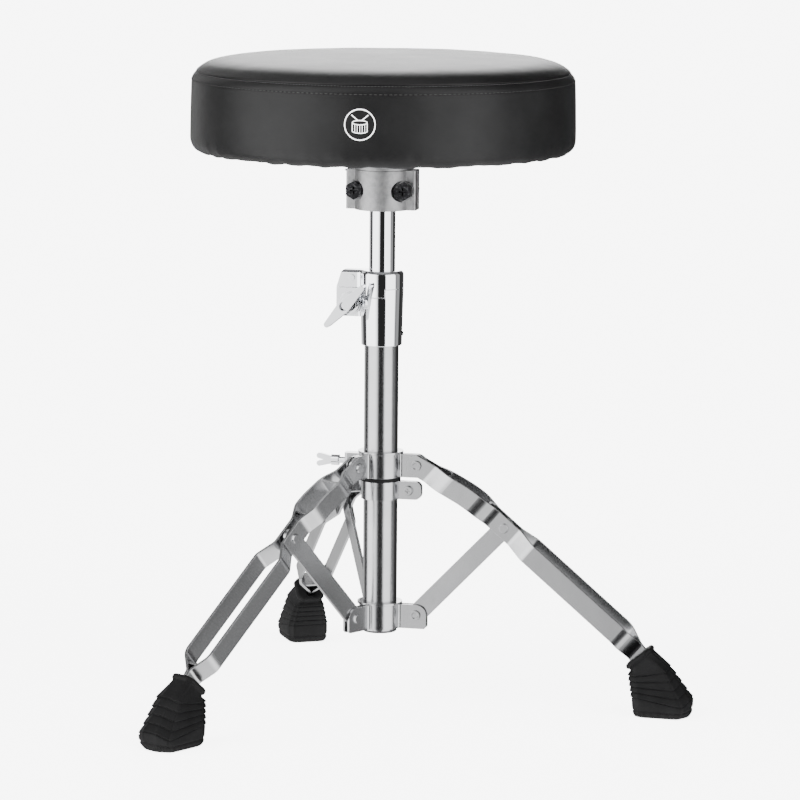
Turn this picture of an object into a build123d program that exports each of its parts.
from build123d import *
from math import atan2, cos, hypot, pi, radians, sin, sqrt, tan
import os

# Drum throne: round cushion, sliding post with a stop lock, and a folding double-strap tripod.
# Origin on the floor under the post, +Z up, leg 1 along +X. All sizes are in millimetres.

# ---- Fits ----
running_fit = 0.1        # radial play where something turns or slides on a shaft
seated_fit = 0.05        # radial play where something is only put in
side_play = 0.3          # gap between flat faces that move past each other

# ---- Seat ----
seat_radius = 177.5
seat_underside_z = 518
seat_thickness = 87
crown_rise = 9           # how far the middle stands above the shoulder
shoulder_round = 25
underside_round = 9
cover_wall = 1.5
cover_turned_under = 30  # width of the cover's hem under the board
board_inset = 11         # from the cushion's outside to the board's edge
board_thickness = 12
dust_cover_thickness = 1
staple_count = 30
staple_length = 10
staple_wire = 0.6

# ---- Hub that clamps the seat to the post ----
hub_radius = 26
hub_ear_reach = 33       # half the width over the bolt ears
hub_ear_depth = 9        # half the depth of the ears
hub_bottom_z = 462
hub_split_z = 499        # the cap ends here, the rear part is a full ring above it
hub_split_gap = 1.2
flange_radius = 62
flange_thickness = 4
hub_bolt_x = 23
hub_bolt_z = 480
hub_bolt_radius = 4
hub_bolt_flats = 15
hub_bolt_head = 5.5
hub_bolt_seat_y = 13.5   # depth of the spot face under the head
hub_pad_radius = 9       # round pad under each head
hub_spot_radius = 10     # room for a socket round each head
hub_nut_spot_radius = 11
bolt_stickout = 2
cross_recess_length = 7
cross_recess_width = 1.5
hub_nut_thickness = 6.5
flange_screw_radius = 3
flange_screw_circle = 46
tee_nut_radius = 4.6
tee_nut_flange_radius = 9.5
tee_nut_flange = 1.4
pan_head_radius = 5.5
pan_head_height = 3.2
clip_wire_radius = 0.9
clip_reach = 8.5         # how far the clip's bend stands out from the ear
clip_end_drop = 4.5      # from the hub's split down to the clip's upper end
clip_height = 8          # between the clip's two ends
clip_bend = 2.5

# ---- Post, tube and height clamp ----
post_radius = 12
post_wall = 2
post_bottom_z = 196
post_top_z = 510
tube_radius = 15.9
tube_wall = 1.5
tube_bottom_z = 67
tube_top_z = 385
plug_flange = 2
plug_depth = 9
clamp_bottom_z = 335.5
clamp_top_z = 388.7
clamp_bottom_wall = 2.8  # between the tube and the clamp's outside, at its lower end
clamp_top_wall = 4.1
clamp_ear_bottom_z = 362
clamp_ear_reach = 41.5
clamp_ear_depth = 8      # half the thickness of the ear
clamp_pad = 1            # raised pad under the wing nut's washer
clamp_slit = 2
clamp_slit_bottom_z = 351
ear_blend = 6
clamp_bolt_x = 28.5
clamp_bolt_z = 374
clamp_bolt_radius = 4
clamp_bolt_head = 6
clamp_bolt_head_corner = 1
clamp_bolt_sunk = 4      # how far the bolt's end lies inside the wing nut
clamp_bolt_flats = 13
clamp_washer_radius = 10.5
clamp_washer_thickness = 1.5
wing_nut_flange_radius = 9.5
wing_nut_flange = 2.4
wing_nut_boss_radius = 7
wing_nut_nose_radius = 5.8
wing_nut_end_y = 33
wing_reach = 23.5
wing_tip_radius = 2.8
wing_root_radius = 6
wing_depth = 11
wing_angles = (227.5, 46)
set_screw_radius = 2
set_screw_z = 346.7

# ---- Stop lock on the post ----
lock_height = 16.2
lock_slant = 5           # the ear's end leans in by this much at its top
lock_edge = 4            # rounding round the top
key_width = 14
key_drop = 7.6
lock_screw_x = 27
lock_screw_z = 398
lock_screw_radius = 2.5
lock_screw_end_radius = 3
lock_screw_stickout = 1
lock_screw_head = 7
lock_screw_head_corner = 0.8

# ---- Pressed collars of the tripod ----
plate_thickness = 2
sleeve_wall = 1.4
sleeve_flange_radius = 21
sleeve_flange = 2
leg_collar_z = 212
leg_collar_height = 22.2
leg_collar_reach = 44.5
lower_collar_z = 69
lower_collar_height = 22.7
lower_collar_reach = 45.5
ear_corner = 10
ear_foot_chamfer = 2
bend_radius = 2.5

# ---- Linkage pivots, in the plane of each leg ----
leg_count = 3
leg_pivot_r = 34.8
leg_pivot_height = 11.7  # above the collar's lower end
brace_pivot_r = 34.7
brace_pivot_height = 12.6
waist_r = 118.6
waist_z = 169.1
pivot_radius = 2.9
rivet_head_radius = 4.8
rivet_head = 1.8
rivet_recess = 1.3       # depth of the hollow in the ring head
rivet_flare = 20         # degrees
rivet_dome = 25

# ---- Legs ----
strap_width = 18
strap_thickness = 2.4
shin_slope = 40.2        # degrees below level, from the upper bend to the ankle bend
knee_back = 40.5         # from the waist up to the upper bend
toe_slope = 50
knee_bend = 110
ankle_bend = 45
strap_overhang = 9
strap_corner = 5
waist_offset = 4.6       # middle of each strap from the leg's plane at the pivots
upper_loop_offset = 12.3
lower_loop_offset = 15.3
toe_offset = 1.5
upper_loop_start = 16     # these two are measured along the shin from the leg pivot
upper_loop_full = 29
upper_loop_to_waist = 31.2
flat_before_waist = 16.2
flat_after_waist = 13.8
waist_to_lower_loop = 30.8
lower_loop_to_mouth = 21.4
toe_flat_to_mouth = 5.4
loop_bends = (9, 22, 20, 16, 8, 8, 14, 7)
first_spacer = 30         # along the shin from the leg pivot
spacer_to_waist = 25.2
spacer_to_mouth = 13.4
spacer_thickness = 2
spacer_height = 14

# ---- Braces ----
brace_width = 18
brace_thickness = 3
brace_side_play = 0.4

# ---- Rubber feet ----
foot_length = 54
foot_width = 42
foot_corner = 17
foot_band = 11           # height of the upright band round the sole
foot_edge = 2.5
lip_z = 56               # height of the middle of the boot's mouth
lip_along_toe = 25.5     # from the ankle bend to the middle of the mouth
lip_lean = 24.3          # how far the mouth leans in from the middle of the sole
lip_length = 28
lip_width = 26
lip_corner = 9
lip_height = 5
lip_overhang = 1.2
foot_socket_depth = 19

# ---- Stop ring, its washer and the collar's lock screw ----
stop_ring_z = 191.2
stop_ring_height = 17
stop_ring_wall = 2.1
stop_ring_reach = 39.5
stop_ring_ear_gap = 2.4
stop_ring_ear_corner = 6
stop_ring_screw_x = 27
stop_ring_screw_radius = 2.4
stop_ring_screw_head_radius = 4.8
stop_ring_screw_head = 2.8
stop_ring_screw_dome = 15
stop_ring_recess_length = 4.4
stop_ring_recess_width = 1.1
stop_ring_nut_flats = 8
stop_ring_nut = 3.6
washer_thickness = 3.5
washer_overhang = 0.6
lock_block_depth = 14.5
lock_block_width = 11
lock_block_height = 16
collar_screw_radius = 3
collar_screw_hub_radius = 5
collar_screw_hub_x = 40
collar_screw_hub = 7
collar_screw_reach = 58.5
collar_screw_spread = 3.6
collar_screw_prong_radius = 2.6
collar_screw_thickness = 5.2

# ---- Sizes worked out from those above ----
whole = 400              # longer than anything that a cut has to pass through
seat_top_z = seat_underside_z + seat_thickness
board_bottom_z = seat_underside_z + cover_wall
board_top_z = board_bottom_z + board_thickness
board_radius = seat_radius - board_inset
dust_cover_z = board_bottom_z - dust_cover_thickness
hem_inner_radius = board_radius - cover_turned_under
flange_z = dust_cover_z - flange_thickness
hub_bore = post_radius + running_fit
tube_inner = tube_radius - tube_wall
clamp_bottom_radius = tube_radius + clamp_bottom_wall
clamp_top_radius = tube_radius + clamp_top_wall
clamp_bore = tube_radius + seated_fit
lock_z = clamp_top_z + side_play
key_inner_radius = clamp_bore + side_play
washer_z = stop_ring_z + stop_ring_height
leg_sleeve_bore = tube_radius + running_fit
sleeve_outer = leg_sleeve_bore + sleeve_wall
plate_outer = sleeve_outer + plate_thickness
leg_ear_outer = waist_offset - strap_thickness / 2 - side_play
leg_ear_inner = leg_ear_outer - plate_thickness
brace_ear_inner = brace_thickness / 2 + brace_side_play
leg_pivot_grip = waist_offset + strap_thickness / 2 + side_play
waist_washer_inner = brace_thickness / 2 + brace_side_play
leg_pivot_z = leg_collar_z + leg_pivot_height
brace_pivot_z = lower_collar_z + brace_pivot_height
collar_screw_z = leg_collar_z + leg_collar_height / 2 + 2
knee_r = waist_r - knee_back * cos(radians(shin_slope))
knee_z = waist_z + knee_back * sin(radians(shin_slope))
ankle_z = lip_z + lip_along_toe * sin(radians(toe_slope))
ankle_r = waist_r + (waist_z - ankle_z) / tan(radians(shin_slope))
lip_r = ankle_r + lip_along_toe * cos(radians(toe_slope))
foot_r = lip_r + lip_lean
toe_length = lip_along_toe + foot_socket_depth
along_r, along_z = cos(radians(shin_slope)), sin(radians(shin_slope))
waist_station = (waist_r - leg_pivot_r) * along_r + (leg_pivot_z - waist_z) * along_z
mouth_station = (lip_r - leg_pivot_r) * along_r + (leg_pivot_z - lip_z) * along_z
upper_loop_back = waist_station - upper_loop_to_waist
waist_start = waist_station - flat_before_waist
waist_end = waist_station + flat_after_waist
lower_loop_full = waist_station + waist_to_lower_loop
lower_loop_back = mouth_station - lower_loop_to_mouth
toe_start = mouth_station - toe_flat_to_mouth
strap_end = mouth_station + 2 * foot_socket_depth
spacer_stations = (first_spacer, waist_station - spacer_to_waist, mouth_station - spacer_to_mouth)


def save(piece, name):
    """Labels a finished piece and writes it as its own node."""
    piece.part.label = name
    export_step(piece.part, f"parts/{name}.step")


def at(z):
    """Level plane at a height above the floor."""
    return Plane.XY.offset(z)


def leg_plane(leg, sideways=0):
    """Upright plane along one leg: x is the radius, y the height, and z points to the leg's right."""
    turn = 2 * pi * leg / leg_count
    plane = Plane(origin=(0, 0, 0), x_dir=(cos(turn), sin(turn), 0), z_dir=(sin(turn), -cos(turn), 0))
    return plane.offset(sideways)


def leg_point(leg, r, z):
    """Point of a leg's upright plane, in the whole object's frame."""
    turn = 2 * pi * leg / leg_count
    return (r * cos(turn), r * sin(turn), z)


def shin_plane(leg):
    """Plane through the leg pivot along the shin's slope: x runs down the leg, y sideways."""
    turn = 2 * pi * leg / leg_count
    slope = radians(shin_slope)
    along = (cos(slope) * cos(turn), cos(slope) * sin(turn), -sin(slope))
    upward = (sin(slope) * cos(turn), sin(slope) * sin(turn), cos(slope))
    return Plane(origin=leg_point(leg, leg_pivot_r, leg_pivot_z), x_dir=along, z_dir=upward)


def lip_plane(leg):
    """Plane of a rubber foot's mouth, square to the strap's end and facing up the leg."""
    turn = 2 * pi * leg / leg_count
    slope = radians(toe_slope)
    across = (sin(slope) * cos(turn), sin(slope) * sin(turn), cos(slope))
    upward = (-cos(slope) * cos(turn), -cos(slope) * sin(turn), sin(slope))
    return Plane(origin=leg_point(leg, lip_r, lip_z), x_dir=across, z_dir=upward)


def leg_side_line():
    """Middle line of a leg seen from its side, from inside the pivot to inside the rubber foot."""
    upper = atan2(leg_pivot_z - knee_z, knee_r - leg_pivot_r)
    start = (leg_pivot_r - strap_overhang * cos(upper), leg_pivot_z + strap_overhang * sin(upper))
    toe = radians(toe_slope)
    end = (ankle_r + toe_length * cos(toe), ankle_z - toe_length * sin(toe))
    FilletPolyline(start, (knee_r, knee_z), (ankle_r, ankle_z), end, radius=(knee_bend, ankle_bend))


def strap_bends(side):
    """Middle line of one strap seen from above: out round the two loops and in at the pivots."""
    points = [
        (-2 * strap_overhang, waist_offset),
        (upper_loop_start, waist_offset),
        (upper_loop_full, upper_loop_offset),
        (upper_loop_back, upper_loop_offset),
        (waist_start, waist_offset),
        (waist_end, waist_offset),
        (lower_loop_full, lower_loop_offset),
        (lower_loop_back, lower_loop_offset),
        (toe_start, toe_offset),
        (strap_end, toe_offset),
    ]
    FilletPolyline([(x, side * y) for x, y in points], radius=loop_bends)


def cushion_section(inset):
    """Half section of the cushion, a given depth inside its outer skin."""
    edge = seat_radius - inset
    low = seat_underside_z + inset
    high = seat_top_z - inset
    crown_radius = (edge**2 + crown_rise**2) / (2 * crown_rise)
    halfway_z = high - crown_radius + sqrt(crown_radius**2 - (edge / 2) ** 2)
    with BuildSketch(Plane.XZ) as section:
        with BuildLine():
            Line((0, low), (edge, low))
            Line((edge, low), (edge, high - crown_rise))
            ThreePointArc((edge, high - crown_rise), (edge / 2, halfway_z), (0, high))
            Line((0, high), (0, low))
        make_face()
        fillet(section.vertices().group_by(Axis.X)[-1].sort_by(Axis.Y)[0], radius=underside_round - inset)
        fillet(section.vertices().group_by(Axis.X)[-1].sort_by(Axis.Y)[-1], radius=shoulder_round - inset)
    return section.sketch


def make_cushion():
    skin = cushion_section(0)
    inside = cushion_section(cover_wall)
    with BuildPart() as cover:
        revolve(skin, axis=Axis.Z)
        revolve(inside, axis=Axis.Z, mode=Mode.SUBTRACT)
        with BuildSketch(at(seat_underside_z)):
            Circle(hem_inner_radius)
        extrude(amount=cover_wall, mode=Mode.SUBTRACT)
    save(cover, "seat_cover")

    with BuildPart() as foam:
        revolve(inside, axis=Axis.Z)
        with BuildSketch(at(board_bottom_z)):
            Circle(board_radius)
        extrude(amount=board_thickness, mode=Mode.SUBTRACT)
    save(foam, "seat_foam")


def flange_screw_places():
    """Four screws through the hub's flange, between the hub's ears."""
    return PolarLocations(flange_screw_circle, 4, start_angle=45)


def make_seat_base():
    with BuildPart() as board:
        with BuildSketch(at(board_bottom_z)):
            Circle(board_radius)
            with flange_screw_places():
                Circle(tee_nut_radius, mode=Mode.SUBTRACT)
        extrude(amount=board_thickness)
        with BuildSketch(at(board_top_z)):
            with flange_screw_places():
                Circle(tee_nut_flange_radius)
        extrude(amount=-tee_nut_flange, mode=Mode.SUBTRACT)
    save(board, "seat_base_board")

    with BuildPart() as dust_cover:
        with BuildSketch(at(dust_cover_z)):
            Circle(hem_inner_radius - side_play)
            with flange_screw_places():
                Circle(flange_screw_radius + seated_fit, mode=Mode.SUBTRACT)
        extrude(amount=dust_cover_thickness)
    save(dust_cover, "seat_dust_cover")

    with BuildPart() as tee_nuts:
        with BuildSketch(at(board_bottom_z)):
            with flange_screw_places():
                Circle(tee_nut_radius)
                Circle(flange_screw_radius + seated_fit, mode=Mode.SUBTRACT)
        extrude(amount=board_thickness - tee_nut_flange)
        with BuildSketch(at(board_top_z - tee_nut_flange)):
            with flange_screw_places():
                Circle(tee_nut_flange_radius)
                Circle(flange_screw_radius + seated_fit, mode=Mode.SUBTRACT)
        extrude(amount=tee_nut_flange)
    save(tee_nuts, "seat_tee_nuts")

    with BuildPart() as staples:
        with BuildSketch(at(seat_underside_z - staple_wire)):
            with PolarLocations(hem_inner_radius + cover_turned_under / 3, staple_count):
                Rectangle(2 * staple_wire, staple_length)
        extrude(amount=staple_wire)
    save(staples, "seat_cover_staples")

    with BuildPart() as screws:
        with BuildSketch(at(flange_z)):
            with flange_screw_places():
                Circle(flange_screw_radius)
        extrude(amount=board_top_z - tee_nut_flange - flange_z)
        with BuildSketch(at(flange_z - pan_head_height)):
            with flange_screw_places():
                Circle(pan_head_radius)
        extrude(amount=pan_head_height)
        fillet(screws.edges().filter_by(GeomType.CIRCLE).group_by(Axis.Z)[0], radius=pan_head_height / 2)
    save(screws, "seat_bracket_screws")


def hub_outline():
    """Plan of the hub: round barrel with a flat bolt ear on each side."""
    with BuildSketch(at(hub_bottom_z)) as outline:
        Circle(hub_radius)
        Rectangle(2 * hub_ear_reach, 2 * hub_ear_depth)
        tips = outline.vertices().filter_by_position(Axis.X, hub_ear_reach - 1, hub_ear_reach + 1)
        tips += outline.vertices().filter_by_position(Axis.X, -hub_ear_reach - 1, -hub_ear_reach + 1)
        fillet(tips, radius=bend_radius)
    return outline.sketch


def make_hub():
    outline = hub_outline()
    clamped_height = hub_split_z - hub_bottom_z
    bolt_places = [(-hub_bolt_x, hub_bolt_z), (hub_bolt_x, hub_bolt_z)]
    rear_face = Plane.XZ.offset(-hub_split_gap / 2)
    front_face = Plane.XZ.offset(hub_split_gap / 2)

    with BuildPart() as bracket:
        extrude(outline, amount=clamped_height)
        split(bisect_by=rear_face, keep=Keep.BOTTOM)
        with BuildSketch(at(hub_split_z)):
            Circle(hub_radius)
        extrude(amount=flange_z - hub_split_z)
        with BuildSketch(at(flange_z)):
            Circle(flange_radius)
        extrude(amount=flange_thickness)
        with BuildSketch(at(hub_bottom_z)):
            Circle(hub_bore)
        extrude(amount=whole, mode=Mode.SUBTRACT)
        with BuildSketch(at(flange_z)):
            with flange_screw_places():
                Circle(flange_screw_radius + seated_fit)
        extrude(amount=flange_thickness, mode=Mode.SUBTRACT)
        with BuildSketch(Plane.XZ):
            with Locations(*bolt_places):
                Circle(hub_bolt_radius + seated_fit)
        extrude(amount=whole, both=True, mode=Mode.SUBTRACT)
        with BuildSketch(Plane.XZ.offset(-hub_ear_depth)):
            with Locations(*bolt_places):
                Circle(hub_nut_spot_radius)
        extrude(amount=-whole, mode=Mode.SUBTRACT)
    save(bracket, "seat_bracket")

    with BuildPart() as cap:
        extrude(outline, amount=clamped_height - side_play)
        split(bisect_by=front_face, keep=Keep.TOP)
        with BuildSketch(at(hub_bottom_z)):
            Circle(hub_bore)
        extrude(amount=whole, mode=Mode.SUBTRACT)
        with BuildSketch(Plane.XZ):
            with Locations(*bolt_places):
                Circle(hub_bolt_radius + seated_fit)
        extrude(amount=whole, both=True, mode=Mode.SUBTRACT)
        with BuildSketch(Plane.XZ.offset(hub_bolt_seat_y)):
            with Locations(*bolt_places):
                Circle(hub_spot_radius)
        extrude(amount=whole, mode=Mode.SUBTRACT)
        with BuildSketch(Plane.XZ.offset(hub_ear_depth)):
            with Locations(*bolt_places):
                Circle(hub_pad_radius)
        extrude(amount=hub_bolt_seat_y - hub_ear_depth)
        with BuildSketch(Plane.XZ.offset(hub_ear_depth)):
            with Locations(*bolt_places):
                Circle(hub_bolt_radius + seated_fit)
        extrude(amount=whole, mode=Mode.SUBTRACT)
    save(cap, "seat_bracket_cap")

    with BuildPart() as bolts:
        with BuildSketch(Plane.XZ.offset(hub_bolt_seat_y)):
            with Locations(*bolt_places):
                Circle(hub_bolt_radius)
        extrude(amount=-(hub_bolt_seat_y + hub_ear_depth + hub_nut_thickness + bolt_stickout))
        with BuildSketch(Plane.XZ.offset(hub_bolt_seat_y)):
            with Locations(*bolt_places):
                RegularPolygon(hub_bolt_flats / 2, 6, major_radius=False, rotation=30)
        extrude(amount=hub_bolt_head)
        with BuildSketch(Plane.XZ.offset(hub_bolt_seat_y + hub_bolt_head)):
            with Locations(*bolt_places):
                Rectangle(cross_recess_length, cross_recess_width)
                Rectangle(cross_recess_width, cross_recess_length)
        extrude(amount=-hub_bolt_head / 2, mode=Mode.SUBTRACT)
    save(bolts, "bracket_bolts")

    with BuildPart() as nuts:
        with BuildSketch(Plane.XZ.offset(-hub_ear_depth)):
            with Locations(*bolt_places):
                RegularPolygon(hub_bolt_flats / 2, 6, major_radius=False)
                Circle(hub_bolt_radius + seated_fit, mode=Mode.SUBTRACT)
        extrude(amount=-hub_nut_thickness)
    save(nuts, "bracket_nuts")

    upper_end = (-hub_ear_reach, hub_split_z - clip_end_drop)
    lower_end = (-hub_ear_reach, hub_split_z - clip_end_drop - clip_height)
    outer_reach = hub_ear_reach + clip_reach
    with BuildPart() as clip:
        with BuildLine(Plane.XZ.offset(-hub_ear_depth / 2)) as wire_line:
            FilletPolyline(
                upper_end,
                (-outer_reach + clip_bend, hub_split_z - clip_wire_radius),
                (-outer_reach, hub_split_z - clip_end_drop),
                lower_end,
                radius=(clip_bend, clip_bend),
            )
        with BuildSketch(Plane(origin=wire_line.line @ 0, z_dir=wire_line.line % 0)):
            Circle(clip_wire_radius)
        sweep()
        with BuildSketch(Plane.YZ.offset(-hub_ear_reach)):
            Rectangle(whole, 4 * whole)
        extrude(amount=10, mode=Mode.SUBTRACT)
    save(clip, "bracket_wire_clip")


def end_plug(z, inner_radius, outer_radius):
    """Plastic plug pushed into the lower end of a tube."""
    with BuildPart() as plug:
        with BuildSketch(at(z)):
            Circle(outer_radius)
        extrude(amount=-plug_flange)
        with BuildSketch(at(z)):
            Circle(inner_radius - seated_fit)
        extrude(amount=plug_depth)
        chamfer(plug.edges().filter_by(GeomType.CIRCLE).group_by(Axis.Z)[0], length=plug_flange / 3)
    return plug


def make_post():
    with BuildPart() as post:
        with BuildSketch(at(post_bottom_z)):
            Circle(post_radius)
            Circle(post_radius - post_wall, mode=Mode.SUBTRACT)
        extrude(amount=post_top_z - post_bottom_z)
    save(post, "seat_post")
    save(end_plug(post_bottom_z, post_radius - post_wall, post_radius), "seat_post_plug")


def ear_outline(barrel_radius):
    """Plan of a split clamp: its round barrel with an ear towards -X."""
    with BuildSketch() as outline:
        Circle(barrel_radius)
        with Locations((-clamp_ear_reach / 2, 0)):
            Rectangle(clamp_ear_reach, 2 * clamp_ear_depth)
        roots = outline.vertices().filter_by_position(Axis.X, -barrel_radius, -barrel_radius / 2)
        fillet(roots, radius=ear_blend)
    return outline.sketch


def make_clamp():
    with BuildPart() as body:
        with BuildSketch(Plane.XZ):
            with BuildLine():
                Polyline(
                    (0, clamp_bottom_z),
                    (clamp_bottom_radius, clamp_bottom_z),
                    (clamp_top_radius, clamp_top_z),
                    (0, clamp_top_z),
                    close=True,
                )
            make_face()
        revolve(axis=Axis.Z)
        fillet(body.edges().filter_by(GeomType.CIRCLE).group_by(Axis.Z)[0], radius=1)
        extrude(at(clamp_ear_bottom_z) * ear_outline(clamp_bottom_radius), amount=clamp_top_z - clamp_ear_bottom_z)
        with BuildSketch(at(clamp_bottom_z)):
            Circle(clamp_bore)
        extrude(amount=whole, mode=Mode.SUBTRACT)
        with BuildSketch(at(clamp_slit_bottom_z)):
            with Locations((-whole / 2, 0)):
                Rectangle(whole, clamp_slit)
        extrude(amount=whole, mode=Mode.SUBTRACT)
        with BuildSketch(at(clamp_top_z)):
            with Locations((0, -clamp_top_radius)):
                Rectangle(key_width + 2 * side_play, 2 * clamp_top_radius)
        extrude(amount=-key_drop - side_play, mode=Mode.SUBTRACT)
        with BuildSketch(Plane.XZ.offset(clamp_ear_depth)):
            with Locations((-clamp_bolt_x, clamp_bolt_z)):
                Circle(clamp_washer_radius)
        extrude(amount=clamp_pad)
        with BuildSketch(Plane.XZ):
            with Locations((-clamp_bolt_x, clamp_bolt_z)):
                Circle(clamp_bolt_radius + seated_fit)
        extrude(amount=whole, both=True, mode=Mode.SUBTRACT)
        with BuildSketch(Plane.YZ):
            with Locations((0, set_screw_z)):
                Circle(set_screw_radius)
        extrude(amount=whole, mode=Mode.SUBTRACT)
    save(body, "clamp_body")

    with BuildPart() as bushing:
        with BuildSketch(at(clamp_bottom_z)):
            Circle(tube_inner - seated_fit)
        extrude(amount=tube_top_z - clamp_bottom_z)
        with BuildSketch(at(tube_top_z)):
            Circle(tube_radius)
        extrude(amount=clamp_top_z - tube_top_z)
        with BuildSketch(at(clamp_bottom_z)):
            Circle(post_radius + running_fit)
        extrude(amount=whole, mode=Mode.SUBTRACT)
        with BuildSketch(at(clamp_slit_bottom_z)):
            with Locations((-whole / 2, 0)):
                Rectangle(whole, clamp_slit)
        extrude(amount=whole, mode=Mode.SUBTRACT)
    save(bushing, "clamp_bushing")

    with BuildPart() as tube:
        with BuildSketch(at(tube_bottom_z)):
            Circle(tube_radius)
            Circle(tube_inner, mode=Mode.SUBTRACT)
        extrude(amount=tube_top_z - tube_bottom_z)
        with BuildSketch(at(clamp_slit_bottom_z)):
            with Locations((-whole / 2, 0)):
                Rectangle(whole, clamp_slit)
        extrude(amount=whole, mode=Mode.SUBTRACT)
    save(tube, "main_tube")
    save(end_plug(tube_bottom_z, tube_inner, tube_radius), "main_tube_plug")

    with BuildPart() as set_screw:
        with BuildSketch(Plane.YZ.offset(clamp_bore + seated_fit)):
            with Locations((0, set_screw_z)):
                Circle(set_screw_radius)
        extrude(amount=clamp_top_radius + seated_fit - clamp_bore)
    save(set_screw, "clamp_set_screw")

    with BuildPart() as bolt:
        with BuildSketch(Plane.XZ.offset(-clamp_ear_depth)):
            with Locations((-clamp_bolt_x, clamp_bolt_z)):
                Circle(clamp_bolt_radius)
        extrude(amount=clamp_ear_depth + wing_nut_end_y - clamp_bolt_sunk)
        with BuildSketch(Plane.XZ.offset(-clamp_ear_depth)):
            with Locations((-clamp_bolt_x, clamp_bolt_z)):
                RectangleRounded(clamp_bolt_flats, clamp_bolt_flats, clamp_bolt_head_corner)
        extrude(amount=-clamp_bolt_head)
    save(bolt, "clamp_bolt")

    with BuildPart() as washer:
        with BuildSketch(Plane.XZ.offset(clamp_ear_depth + clamp_pad)):
            with Locations((-clamp_bolt_x, clamp_bolt_z)):
                Circle(clamp_washer_radius)
                Circle(clamp_bolt_radius + seated_fit, mode=Mode.SUBTRACT)
        extrude(amount=clamp_washer_thickness)
    save(washer, "clamp_washer")


def make_wing_nut():
    foot_y = clamp_ear_depth + clamp_pad + clamp_washer_thickness + side_play
    boss_y = foot_y + wing_nut_flange
    centre = (-clamp_bolt_x, clamp_bolt_z)
    with BuildPart() as nut:
        with BuildSketch(Plane.XZ.offset(foot_y)):
            with Locations(centre):
                Circle(wing_nut_flange_radius)
        extrude(amount=wing_nut_flange)
        with BuildSketch(Plane.XZ.offset(boss_y)):
            with Locations(centre):
                Circle(wing_nut_boss_radius)
        with BuildSketch(Plane.XZ.offset(wing_nut_end_y)):
            with Locations(centre):
                Circle(wing_nut_nose_radius)
        loft()
        for angle in wing_angles:
            turn = radians(angle)
            tip = (centre[0] + wing_reach * cos(turn), centre[1] + wing_reach * sin(turn))
            with BuildSketch(Plane.XZ.offset(wing_nut_end_y - wing_depth)):
                with Locations(centre):
                    Circle(wing_root_radius)
                with Locations(tip):
                    Circle(wing_tip_radius)
                make_hull()
            extrude(amount=wing_depth)
        with BuildSketch(Plane.XZ):
            with Locations(centre):
                Circle(clamp_bolt_radius + running_fit)
        extrude(amount=whole, mode=Mode.SUBTRACT)
    save(nut, "wing_nut")


def make_stop_lock():
    screw_place = (-lock_screw_x, lock_screw_z)
    with BuildPart() as lock:
        extrude(at(lock_z) * ear_outline(clamp_top_radius), amount=lock_height)
        with BuildSketch(Plane.XZ):
            with BuildLine():
                Polyline(
                    (-clamp_ear_reach, lock_z),
                    (-clamp_ear_reach + lock_slant, lock_z + lock_height),
                    (-clamp_ear_reach, lock_z + lock_height),
                    close=True,
                )
            make_face()
        extrude(amount=whole, both=True, mode=Mode.SUBTRACT)
        fillet(lock.faces().sort_by(Axis.Z)[-1].outer_wire().edges(), radius=lock_edge)
        with BuildSketch(at(lock_z)):
            Circle(clamp_top_radius)
            Circle(key_inner_radius, mode=Mode.SUBTRACT)
            with Locations((0, -clamp_top_radius)):
                Rectangle(key_width, 2 * clamp_top_radius, mode=Mode.INTERSECT)
        extrude(amount=-key_drop)
        with BuildSketch(at(lock_z)):
            Circle(post_radius + running_fit)
            with Locations((-whole / 2, 0)):
                Rectangle(whole, clamp_slit)
        extrude(amount=whole, mode=Mode.SUBTRACT)
        with BuildSketch(Plane.XZ):
            with Locations(screw_place):
                Circle(lock_screw_radius + seated_fit)
        extrude(amount=whole, both=True, mode=Mode.SUBTRACT)
    save(lock, "stop_lock")

    with BuildPart() as screw:
        with BuildSketch(Plane.XZ):
            with Locations(screw_place):
                Circle(lock_screw_radius)
        extrude(amount=clamp_ear_depth, both=True)
        with BuildSketch(Plane.XZ.offset(clamp_ear_depth)):
            with Locations(screw_place):
                Circle(lock_screw_end_radius)
        extrude(amount=lock_screw_stickout)
        with BuildSketch(Plane.XZ.offset(-clamp_ear_depth)):
            with Locations(screw_place):
                RectangleRounded(lock_screw_head, lock_screw_head, lock_screw_head_corner)
        extrude(amount=-lock_screw_head)
    save(screw, "stop_lock_screw")


def make_sleeve(name, z, height, bore, lock_screw=False):
    """Plain sleeve with a thin flange on top, which the pressed plates wrap round."""
    with BuildPart() as sleeve:
        with BuildSketch(at(z)):
            Circle(sleeve_outer)
        extrude(amount=height)
        with BuildSketch(at(z + height)):
            Circle(sleeve_flange_radius)
        extrude(amount=sleeve_flange)
        with BuildSketch(at(z)):
            Circle(bore)
        extrude(amount=whole, mode=Mode.SUBTRACT)
        if lock_screw:
            cut_lock_screw_hole()
    save(sleeve, name)


def cut_lock_screw_hole():
    """Clearance hole for the collar's lock screw, towards -X."""
    with BuildSketch(Plane.YZ) as hole:
        with Locations((0, collar_screw_z)):
            Circle(collar_screw_radius + running_fit)
    extrude(hole.sketch, amount=-whole, mode=Mode.SUBTRACT)


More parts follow.
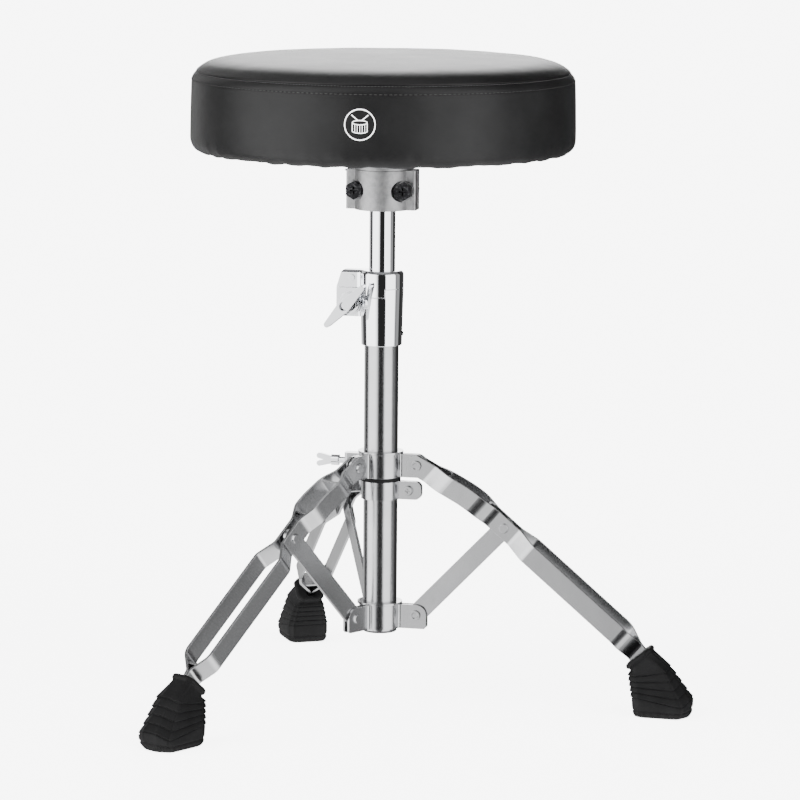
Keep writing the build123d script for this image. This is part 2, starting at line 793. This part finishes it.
def make_plates(name, z, height, reach, ear_inner, ear_outer, pivot_r, pivot_z, lock_screw=False):
    """Three pressed plates round a sleeve: each spans two legs and ends in an ear at either one."""
    with BuildPart() as plates:
        with BuildSketch(at(z)) as plan:
            Circle(plate_outer)
            with PolarLocations(reach / 2, leg_count):
                Rectangle(reach, 2 * ear_outer)
            bends = plan.vertices().filter_by(lambda v: hypot(v.X, v.Y) < reach / 2 + plate_outer / 2)
            fillet(bends, radius=bend_radius)
            Circle(sleeve_outer, mode=Mode.SUBTRACT)
            with PolarLocations(reach, leg_count):
                Rectangle(2 * reach, 2 * ear_inner, mode=Mode.SUBTRACT)
        extrude(amount=height)
        with BuildSketch(Plane.XZ) as envelope:
            with Locations((reach / 2, z + height / 2)):
                Rectangle(reach, height)
            corners = envelope.vertices().group_by(Axis.X)[-1].sort_by(Axis.Y)
            fillet(corners[1], radius=ear_corner)
            low_corner = envelope.vertices().group_by(Axis.Y)[0].sort_by(Axis.X)[-1]
            chamfer(low_corner, length=ear_foot_chamfer)
        revolve(axis=Axis.Z, mode=Mode.INTERSECT)
        for leg in range(leg_count):
            with BuildSketch(leg_plane(leg)):
                with Locations((pivot_r, pivot_z)):
                    Circle(pivot_radius + seated_fit)
            extrude(amount=ear_outer, both=True, mode=Mode.SUBTRACT)
        if lock_screw:
            cut_lock_screw_hole()
    save(plates, name)


def make_pivot_rivets(name, pivot_r, pivot_z, grip):
    """One rivet per leg: a flared ring head on the leg's right and a domed head on its left."""
    with BuildPart() as rivets:
        for leg in range(leg_count):
            with BuildSketch(leg_plane(leg)):
                with Locations((pivot_r, pivot_z)):
                    Circle(pivot_radius)
            extrude(amount=grip, both=True)
            with BuildSketch(leg_plane(leg, grip)):
                with Locations((pivot_r, pivot_z)):
                    Circle(rivet_head_radius)
            extrude(amount=rivet_head)
            with BuildSketch(leg_plane(leg, grip + rivet_head)):
                with Locations((pivot_r, pivot_z)):
                    Circle(pivot_radius)
            extrude(amount=-rivet_recess, taper=rivet_flare, mode=Mode.SUBTRACT)
            with BuildSketch(leg_plane(leg, -grip)):
                with Locations((pivot_r, pivot_z)):
                    Circle(rivet_head_radius)
            extrude(amount=-rivet_head, taper=rivet_dome)
    save(rivets, name)


def make_collars():
    make_sleeve("leg_collar_sleeve", leg_collar_z, leg_collar_height, leg_sleeve_bore, lock_screw=True)
    make_sleeve("lower_collar_sleeve", lower_collar_z, lower_collar_height, tube_radius + seated_fit)
    make_plates(
        "leg_collar_plates", leg_collar_z, leg_collar_height, leg_collar_reach,
        leg_ear_inner, leg_ear_outer, leg_pivot_r, leg_pivot_z, lock_screw=True,
    )
    make_plates(
        "lower_collar_plates", lower_collar_z, lower_collar_height, lower_collar_reach,
        brace_ear_inner, brace_ear_inner + plate_thickness, brace_pivot_r, brace_pivot_z,
    )
    make_pivot_rivets("leg_collar_rivets", leg_pivot_r, leg_pivot_z, leg_pivot_grip)
    make_pivot_rivets("lower_collar_rivets", brace_pivot_r, brace_pivot_z, brace_ear_inner + plate_thickness)


def make_collar_lock():
    with BuildPart() as block:
        with BuildSketch(at(collar_screw_z - lock_block_height / 2)):
            with Locations((-plate_outer - lock_block_depth / 2, 0)):
                Rectangle(lock_block_depth, lock_block_width)
            with Locations((-plate_outer, 0)):
                Rectangle(plate_thickness, lock_block_width)
            Circle(plate_outer, mode=Mode.SUBTRACT)
        extrude(amount=lock_block_height)
        fillet(block.edges().filter_by(Axis.Z).group_by(Axis.X)[0], radius=bend_radius)
        with BuildSketch(Plane.YZ):
            with Locations((0, collar_screw_z)):
                Circle(collar_screw_radius + running_fit)
        extrude(amount=-whole, mode=Mode.SUBTRACT)
    save(block, "collar_lock_block")

    with BuildPart() as screw:
        with BuildSketch(Plane.YZ.offset(-tube_radius - side_play)):
            with Locations((0, collar_screw_z)):
                Circle(collar_screw_radius)
        extrude(amount=-(collar_screw_hub_x - tube_radius - side_play))
        with BuildSketch(Plane.YZ.offset(-collar_screw_hub_x)):
            with Locations((0, collar_screw_z)):
                Circle(collar_screw_hub_radius)
        extrude(amount=-collar_screw_hub)
        for spread in (-collar_screw_spread, collar_screw_spread):
            with BuildSketch(Plane.XZ):
                with Locations((-collar_screw_hub_x - collar_screw_hub / 2, collar_screw_z)):
                    Circle(collar_screw_prong_radius)
                with Locations((-collar_screw_reach, collar_screw_z + spread)):
                    Circle(collar_screw_prong_radius)
                make_hull()
            extrude(amount=collar_screw_thickness / 2, both=True)
    save(screw, "collar_lock_screw")


def make_stop_ring():
    ear = stop_ring_ear_gap / 2 + plate_thickness
    screw_place = (stop_ring_screw_x, stop_ring_z + stop_ring_height / 2)
    with BuildPart() as ring:
        with BuildSketch(at(stop_ring_z)):
            Circle(leg_sleeve_bore + stop_ring_wall)
            with Locations((stop_ring_reach / 2, 0)):
                Rectangle(stop_ring_reach, 2 * ear)
            Circle(leg_sleeve_bore, mode=Mode.SUBTRACT)
            with Locations((stop_ring_reach / 2 + 1, 0)):
                Rectangle(stop_ring_reach + 2, stop_ring_ear_gap, mode=Mode.SUBTRACT)
        extrude(amount=stop_ring_height)
        tips = ring.edges().filter_by(Axis.Y).group_by(Axis.X)[-1]
        fillet(tips, radius=stop_ring_ear_corner)
        with BuildSketch(Plane.XZ):
            with Locations(screw_place):
                Circle(stop_ring_screw_radius + seated_fit)
        extrude(amount=ear, both=True, mode=Mode.SUBTRACT)
    save(ring, "stop_ring")

    with BuildPart() as screw:
        with BuildSketch(Plane.XZ):
            with Locations(screw_place):
                Circle(stop_ring_screw_radius)
        extrude(amount=ear, both=True)
        with BuildSketch(Plane.XZ.offset(-ear)):
            with Locations(screw_place):
                Circle(stop_ring_screw_radius)
        extrude(amount=-stop_ring_nut - 1)
        with BuildSketch(Plane.XZ.offset(ear)):
            with Locations(screw_place):
                Circle(stop_ring_screw_head_radius)
        extrude(amount=stop_ring_screw_head, taper=stop_ring_screw_dome)
        with BuildSketch(Plane.XZ.offset(ear + stop_ring_screw_head)):
            with Locations(screw_place):
                Rectangle(stop_ring_recess_length, stop_ring_recess_width)
                Rectangle(stop_ring_recess_width, stop_ring_recess_length)
        extrude(amount=-stop_ring_screw_head / 2, mode=Mode.SUBTRACT)
    save(screw, "stop_ring_screw")

    with BuildPart() as nut:
        with BuildSketch(Plane.XZ.offset(-ear)):
            with Locations(screw_place):
                RegularPolygon(stop_ring_nut_flats / 2, 6, major_radius=False)
                Circle(stop_ring_screw_radius + seated_fit, mode=Mode.SUBTRACT)
        extrude(amount=-stop_ring_nut)
    save(nut, "stop_ring_nut")

    with BuildPart() as washer:
        with BuildSketch(at(washer_z)):
            Circle(leg_sleeve_bore + stop_ring_wall + washer_overhang)
            Circle(leg_sleeve_bore, mode=Mode.SUBTRACT)
        extrude(amount=washer_thickness)
    save(washer, "collar_rubber_washer")


def make_strap(leg, side, name):
    """One formed strap of a leg, bent in plan round both loops and in side view at knee and ankle."""
    with BuildPart() as strap:
        with BuildSketch(leg_plane(leg)) as side_view:
            with BuildLine():
                leg_side_line()
            trace(line_width=strap_width)
            chamfer(side_view.vertices().sort_by(Axis.X)[:2], length=strap_corner)
        extrude(amount=2 * lower_loop_offset, both=True)
        with BuildSketch(shin_plane(leg)):
            with BuildLine():
                strap_bends(side)
            trace(line_width=strap_thickness)
        extrude(amount=whole, both=True, mode=Mode.INTERSECT)
        with BuildSketch(leg_plane(leg)):
            with Locations((leg_pivot_r, leg_pivot_z)):
                Circle(pivot_radius + running_fit)
            with Locations((waist_r, waist_z)):
                Circle(pivot_radius + seated_fit)
        extrude(amount=2 * lower_loop_offset, both=True, mode=Mode.SUBTRACT)
    save(strap, name)


def make_spacers(leg, name):
    """Small bridge plates that hold the two straps of a leg apart."""
    with BuildSketch(shin_plane(leg)) as strips:
        for station in spacer_stations:
            with Locations((station, 0)):
                Rectangle(spacer_thickness, 4 * lower_loop_offset)
        for side in (1, -1):
            with BuildLine():
                strap_bends(side)
            trace(line_width=strap_thickness, mode=Mode.SUBTRACT)
    centre_line = shin_plane(leg).z_dir
    between = [face for face in strips.sketch.faces() if abs(shin_plane(leg).to_local_coords(face.center()).Y) < 1]
    with BuildPart() as spacers:
        extrude(between, amount=whole, both=True, dir=centre_line)
        with BuildSketch(leg_plane(leg)):
            with BuildLine():
                leg_side_line()
            trace(line_width=spacer_height)
        extrude(amount=2 * lower_loop_offset, both=True, mode=Mode.INTERSECT)
    save(spacers, name)


def make_waist_rivets(leg, name):
    """A headed pin in each strap at the waist, with the washer that keeps the brace centred."""
    outer = waist_offset + strap_thickness / 2
    inner = waist_offset - strap_thickness / 2
    with BuildPart() as rivets:
        for side in (1, -1):
            with BuildSketch(leg_plane(leg, side * waist_washer_inner)):
                with Locations((waist_r, waist_z)):
                    Circle(pivot_radius)
            extrude(amount=side * (outer - waist_washer_inner))
            with BuildSketch(leg_plane(leg, side * waist_washer_inner)):
                with Locations((waist_r, waist_z)):
                    Circle(rivet_head_radius)
            extrude(amount=side * (inner - waist_washer_inner))
            with BuildSketch(leg_plane(leg, side * outer)):
                with Locations((waist_r, waist_z)):
                    Circle(rivet_head_radius)
            extrude(amount=side * rivet_head, taper=rivet_dome)
    save(rivets, name)


def make_brace(leg, name):
    with BuildPart() as brace:
        with BuildSketch(leg_plane(leg)):
            with BuildLine():
                Line((brace_pivot_r, brace_pivot_z), (waist_r, waist_z))
            trace(line_width=brace_width)
            with Locations((brace_pivot_r, brace_pivot_z), (waist_r, waist_z)):
                Circle(brace_width / 2)
            with Locations((brace_pivot_r, brace_pivot_z), (waist_r, waist_z)):
                Circle(pivot_radius + running_fit, mode=Mode.SUBTRACT)
        extrude(amount=brace_thickness / 2, both=True)
    save(brace, name)


def make_foot(leg, name):
    """Rubber boot: a flat rounded sole that tapers up to a slanted mouth round the strap ends."""
    turn = 2 * pi * leg / leg_count
    sole = Plane(origin=leg_point(leg, foot_r, 0), x_dir=(cos(turn), sin(turn), 0), z_dir=(0, 0, 1))
    mouth = lip_plane(leg)
    socket_width = 2 * toe_offset + strap_thickness + 2 * seated_fit
    with BuildPart() as foot:
        with BuildSketch(sole):
            RectangleRounded(foot_length, foot_width, foot_corner)
        extrude(amount=foot_band)
        with BuildSketch(sole.offset(foot_band)):
            RectangleRounded(foot_length, foot_width, foot_corner)
        with BuildSketch(mouth.offset(-lip_height)):
            RectangleRounded(lip_length, lip_width, lip_corner)
        loft()
        fillet(foot.faces().sort_by(Axis.Z)[0].edges(), radius=foot_edge)
        with BuildSketch(mouth.offset(-lip_height)):
            RectangleRounded(lip_length + 2 * lip_overhang, lip_width + 2 * lip_overhang, lip_corner + lip_overhang)
        extrude(amount=lip_height)
        with BuildSketch(mouth):
            Rectangle(strap_width + 2 * seated_fit, socket_width)
        extrude(amount=-foot_socket_depth - seated_fit, mode=Mode.SUBTRACT)
    save(foot, name)


def make_legs():
    for leg in range(leg_count):
        number = leg + 1
        make_strap(leg, 1, f"leg_{number}_strap_left")
        make_strap(leg, -1, f"leg_{number}_strap_right")
        make_spacers(leg, f"leg_{number}_spacers")
        make_waist_rivets(leg, f"leg_{number}_rivets")
        make_foot(leg, f"leg_{number}_foot")
        make_brace(leg, f"brace_{number}")


os.makedirs("parts", exist_ok=True)
make_cushion()
make_seat_base()
make_hub()
make_post()
make_clamp()
make_wing_nut()
make_stop_lock()
make_collars()
make_collar_lock()
make_stop_ring()
make_legs()
